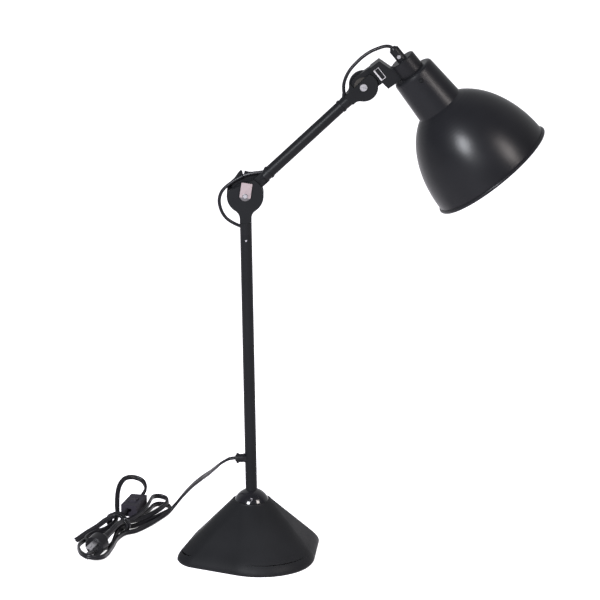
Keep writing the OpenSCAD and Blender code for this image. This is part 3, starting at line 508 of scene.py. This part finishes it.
# ---------- leads over the two joints ----------
# From the elbow pivot with Z along the stem, and from the head pivot, in mm
ELBOW_LEAD = [
    (-3, 0, -37.4), (-5.9, 0, -35.2), (-9.8, 0, -33.4), (-15.8, 0, -30), (-21, 0, -25.6), (-24.6, 0, -20.2),
    (-26.9, 0, -13.8), (-27.8, 0, -7), (-26.6, 0, -0.4), (-23.6, -0.2, 5.2), (-17.4, -0.4, 11),
    (-10, -0.5, 16), (-2, -0.5, 20.2),
]
HEAD_LEAD = [
    (-20.2, 0, -10), (-20.9, 0, -5), (-20.9, 0, 1), (-19.2, 0, 7.8), (-14.8, 0, 16.6), (-7, 0, 25.8),
    (0.2, 0, 32.4), (8, 0, 37.6), (16.3, 0, 41.2), (21.7, 0, 42.9), (25.6, 0, 43.1),
    (28.2, 0, 42.6), (29.9, 0, 41.6),
]


def joint_lead(name, node, points, place, material):
    """Round lead bent between two bodies, in place of its CAD node."""
    path = smooth_path([place @ mm(*p) for p in points], step=0.0008)
    piece = sweep(name, path, round_outline(LEAD_DIAMETER), level=False)
    piece.data.materials.append(material)
    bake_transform(piece)
    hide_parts(node)


def lay_leads(material):
    at_elbow = Matrix.Translation(elbow_pivot()) @ Matrix.Rotation(math.radians(-STEM_LEAN), 4, "Y")
    at_head = Matrix.Translation(head_pivot())
    joint_lead("elbow_loop", "elbow_lead", ELBOW_LEAD, at_elbow, material)
    joint_lead("head_loop", "head_lead", HEAD_LEAD, at_head, material)


# ---------- studio ----------
def make_camera():
    camera_data = bpy.data.cameras.new("camera")
    camera_data.sensor_width = 36.0
    camera_data.lens = camera_data.sensor_width * CAMERA_DISTANCE / PICTURE_WIDTH
    camera_data.clip_start, camera_data.clip_end = 0.5, 60.0
    camera = bpy.data.objects.new("camera", camera_data)
    bpy.context.scene.collection.objects.link(camera)
    elevation = math.radians(CAMERA_ELEVATION)
    back = Vector((0, -math.cos(elevation), math.sin(elevation)))
    camera.location = Vector(CAMERA_TARGET) + back * CAMERA_DISTANCE
    camera.rotation_mode = "QUATERNION"
    camera.rotation_quaternion = (-back).to_track_quat("-Z", "Y")
    bpy.context.scene.camera = camera


def make_floor():
    s = Shader("studio_floor")
    s.set("Base Color", varied(s, (0.42, 0.40, 0.44), 0.01, 3.0))
    s.set("Roughness", 0.9)
    s.set("Specular IOR Level", 0.1)
    s.set("Emission Color", varied(s, (1.0, 1.0, 1.0), 0.01, 3.0))
    s.set("Emission Strength", FLOOR_GLOW)
    half = FLOOR_HALF_WIDTH
    mesh = bpy.data.meshes.new("studio_floor")
    corners = [(-half, -half, 0), (half, -half, 0), (half, half, 0), (-half, half, 0)]
    mesh.from_pydata(corners, [], [(0, 1, 2, 3)])
    mesh.materials.append(s.material)
    floor = bpy.data.objects.new("studio_floor", mesh)
    floor.location.z = -FLOOR_GAP
    bpy.context.scene.collection.objects.link(floor)


def soft_box(name, place, size, power, colour):
    light_data = bpy.data.lights.new(name, "AREA")
    light_data.shape = "RECTANGLE"
    light_data.size, light_data.size_y = size
    light_data.energy = power
    light_data.color = colour
    light_data.spread = math.radians(BEAM_SPREAD)
    light = bpy.data.objects.new(name, light_data)
    bpy.context.scene.collection.objects.link(light)
    light.location = place
    light.rotation_mode = "QUATERNION"
    light.rotation_quaternion = (Vector(LIGHTS_AIM) - light.location).to_track_quat("-Z", "Y")


def make_lights():
    soft_box("key_left", (-1.20, -2.66, 1.80), (0.9, 1.1), 66, (0.93, 0.95, 1.0))
    soft_box("fill_right", (1.75, -1.55, 1.71), (0.8, 0.9), 17, (1.0, 0.93, 0.90))


def make_world():
    """Pale studio behind and above the lamp, dim on the camera's side."""
    world = bpy.data.worlds.new("studio")
    bpy.context.scene.world = world
    world.use_nodes = True
    tree = world.node_tree
    direction = tree.nodes.new("ShaderNodeTexCoord").outputs["Generated"]
    parts = tree.nodes.new("ShaderNodeSeparateXYZ")
    tree.links.new(direction, parts.inputs[0])
    fade = tree.nodes.new("ShaderNodeMapRange")
    fade.interpolation_type = "SMOOTHSTEP"
    fade.inputs["From Min"].default_value = -0.15
    fade.inputs["From Max"].default_value = 0.55
    fade.inputs["To Min"].default_value = WORLD_FRONT
    fade.inputs["To Max"].default_value = WORLD_BACK
    tree.links.new(parts.outputs["Y"], fade.inputs["Value"])
    background = tree.nodes["Background"]
    background.inputs["Color"].default_value = (0.96, 0.97, 1.0, 1.0)
    tree.links.new(fade.outputs["Result"], background.inputs["Strength"])


def main():
    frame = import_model()
    make_camera()
    finishes = make_finishes()
    lay_mains_cord(finishes["cord"])
    wrap_tie(finishes["cord"])
    lay_leads(finishes["cord"])
    paint_nodes(frame["nodes"], finishes)
    paint_shade_inside(frame["nodes"]["shade"], finishes["white"])
    make_floor()
    make_lights()
    make_world()
    bpy.context.scene.view_settings.view_transform = "Standard"


main()
